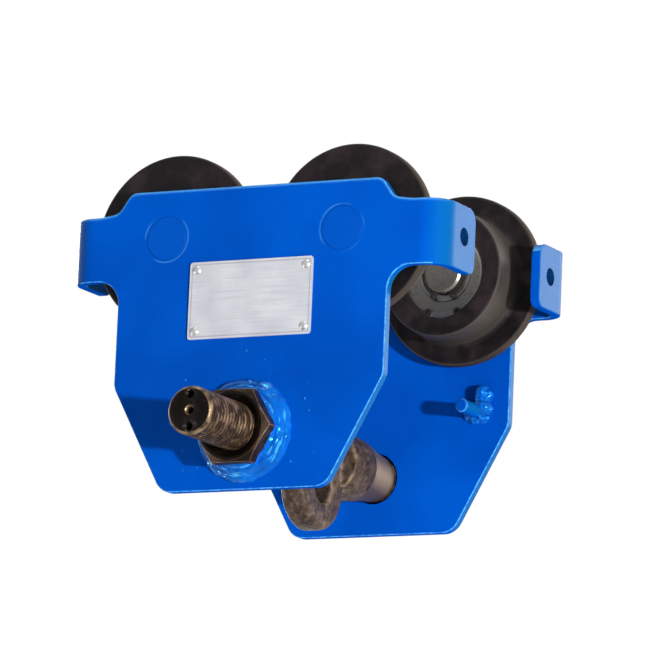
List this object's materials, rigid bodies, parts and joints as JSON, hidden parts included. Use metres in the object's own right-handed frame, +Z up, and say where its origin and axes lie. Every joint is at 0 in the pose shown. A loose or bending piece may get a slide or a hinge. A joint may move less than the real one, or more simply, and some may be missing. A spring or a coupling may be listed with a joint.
{
  "type": "manual beam trolley",
  "caption": "Push trolley for an I-beam: two bent side plates with flanged wheels on ball bearings, set to the flange by a load bar with opposite threads and an eye for a hoist.",
  "frame": {"origin": "middle of the beam flange's running surface, where the wheels stand, half way between the four wheels", "axes": "+X along the beam, +Y across the beam from the nameplate side to the rear side, +Z up"},
  "size_m": [0.206, 0.26, 0.1786],
  "materials": {
    "blue_paint": "glossy",
    "blue_weld": "glossy",
    "bar_steel": "forged, oiled",
    "nut_steel": "oiled",
    "axle_steel": "painted at the plate, bare inside",
    "wheel_iron": "dark satin",
    "bearing_steel": "ground",
    "cage_steel": "pressed",
    "shield_steel": "pressed",
    "spring_steel": "blackened",
    "nameplate_aluminium": "brushed",
    "rivet_aluminium": "satin"
  },
  "bodies": {
    "load_bar": {"load_bar": "bar_steel"},
    "front_side": {"front_side_plate": "blue_paint", "front_load_nut": "nut_steel", "front_nut_weld": "blue_weld", "front_tilt_stud": "blue_paint", "front_stud_weld": "blue_weld", "front_left_axle_pin": "axle_steel", "front_left_bearing_inner_ring": "bearing_steel", "front_left_axle_circlip": "spring_steel", "front_right_axle_pin": "axle_steel", "front_right_bearing_inner_ring": "bearing_steel", "front_right_axle_circlip": "spring_steel", "nameplate": "nameplate_aluminium", "nameplate_rivets": "rivet_aluminium"},
    "rear_side": {"rear_side_plate": "blue_paint", "rear_load_nut": "nut_steel", "rear_nut_weld": "blue_weld", "rear_tilt_stud": "blue_paint", "rear_stud_weld": "blue_weld", "rear_left_axle_pin": "axle_steel", "rear_left_bearing_inner_ring": "bearing_steel", "rear_left_axle_circlip": "spring_steel", "rear_right_axle_pin": "axle_steel", "rear_right_bearing_inner_ring": "bearing_steel", "rear_right_axle_circlip": "spring_steel"},
    "front_left_wheel_set": {"front_left_wheel": "wheel_iron", "front_left_bearing_outer_ring": "bearing_steel", "front_left_bearing_shields": "shield_steel", "front_left_hub_clip": "spring_steel"},
    "front_left_ball_set": {"front_left_bearing_balls": "bearing_steel", "front_left_bearing_cage": "cage_steel"},
    "front_right_wheel_set": {"front_right_wheel": "wheel_iron", "front_right_bearing_outer_ring": "bearing_steel", "front_right_bearing_shields": "shield_steel", "front_right_hub_clip": "spring_steel"},
    "front_right_ball_set": {"front_right_bearing_balls": "bearing_steel", "front_right_bearing_cage": "cage_steel"},
    "rear_left_wheel_set": {"rear_left_wheel": "wheel_iron", "rear_left_bearing_outer_ring": "bearing_steel", "rear_left_bearing_shields": "shield_steel", "rear_left_hub_clip": "spring_steel"},
    "rear_left_ball_set": {"rear_left_bearing_balls": "bearing_steel", "rear_left_bearing_cage": "cage_steel"},
    "rear_right_wheel_set": {"rear_right_wheel": "wheel_iron", "rear_right_bearing_outer_ring": "bearing_steel", "rear_right_bearing_shields": "shield_steel", "rear_right_hub_clip": "spring_steel"},
    "rear_right_ball_set": {"rear_right_bearing_balls": "bearing_steel", "rear_right_bearing_cage": "cage_steel"}
  },
  "joints": [
    {"name": "front_side_slide", "type": "slide", "parent": "load_bar", "child": "front_side", "axis": [0, -1, 0], "range_m": [-0.008, 0.038]},
    {"name": "rear_side_slide", "type": "slide", "parent": "load_bar", "child": "rear_side", "axis": [0, 1, 0], "range_m": [-0.008, 0.038]},
    {"name": "front_left_wheel_spin", "type": "hinge", "parent": "front_side", "child": "front_left_wheel_set", "pos_m": [-0.04825, -0.068, 0.033], "axis": [0, 1, 0], "continuous": true},
    {"name": "front_left_cage_spin", "type": "hinge", "parent": "front_side", "child": "front_left_ball_set", "pos_m": [-0.04825, -0.068, 0.033], "axis": [0, 1, 0], "continuous": true},
    {"name": "front_right_wheel_spin", "type": "hinge", "parent": "front_side", "child": "front_right_wheel_set", "pos_m": [0.04825, -0.068, 0.033], "axis": [0, 1, 0], "continuous": true},
    {"name": "front_right_cage_spin", "type": "hinge", "parent": "front_side", "child": "front_right_ball_set", "pos_m": [0.04825, -0.068, 0.033], "axis": [0, 1, 0], "continuous": true},
    {"name": "rear_left_wheel_spin", "type": "hinge", "parent": "rear_side", "child": "rear_left_wheel_set", "pos_m": [-0.04825, 0.068, 0.033], "axis": [0, 1, 0], "continuous": true},
    {"name": "rear_left_cage_spin", "type": "hinge", "parent": "rear_side", "child": "rear_left_ball_set", "pos_m": [-0.04825, 0.068, 0.033], "axis": [0, 1, 0], "continuous": true},
    {"name": "rear_right_wheel_spin", "type": "hinge", "parent": "rear_side", "child": "rear_right_wheel_set", "pos_m": [0.04825, 0.068, 0.033], "axis": [0, 1, 0], "continuous": true},
    {"name": "rear_right_cage_spin", "type": "hinge", "parent": "rear_side", "child": "rear_right_ball_set", "pos_m": [0.04825, 0.068, 0.033], "axis": [0, 1, 0], "continuous": true}
  ],
  "couplings": [
    {"joint": "rear_side_slide", "follows": "front_side_slide", "ratio": 1},
    {"joint": "front_left_cage_spin", "follows": "front_left_wheel_spin", "ratio": 0.6185},
    {"joint": "front_right_cage_spin", "follows": "front_right_wheel_spin", "ratio": 0.6185},
    {"joint": "rear_left_cage_spin", "follows": "rear_left_wheel_spin", "ratio": 0.6185},
    {"joint": "rear_right_cage_spin", "follows": "rear_right_wheel_spin", "ratio": 0.6185}
  ]
}
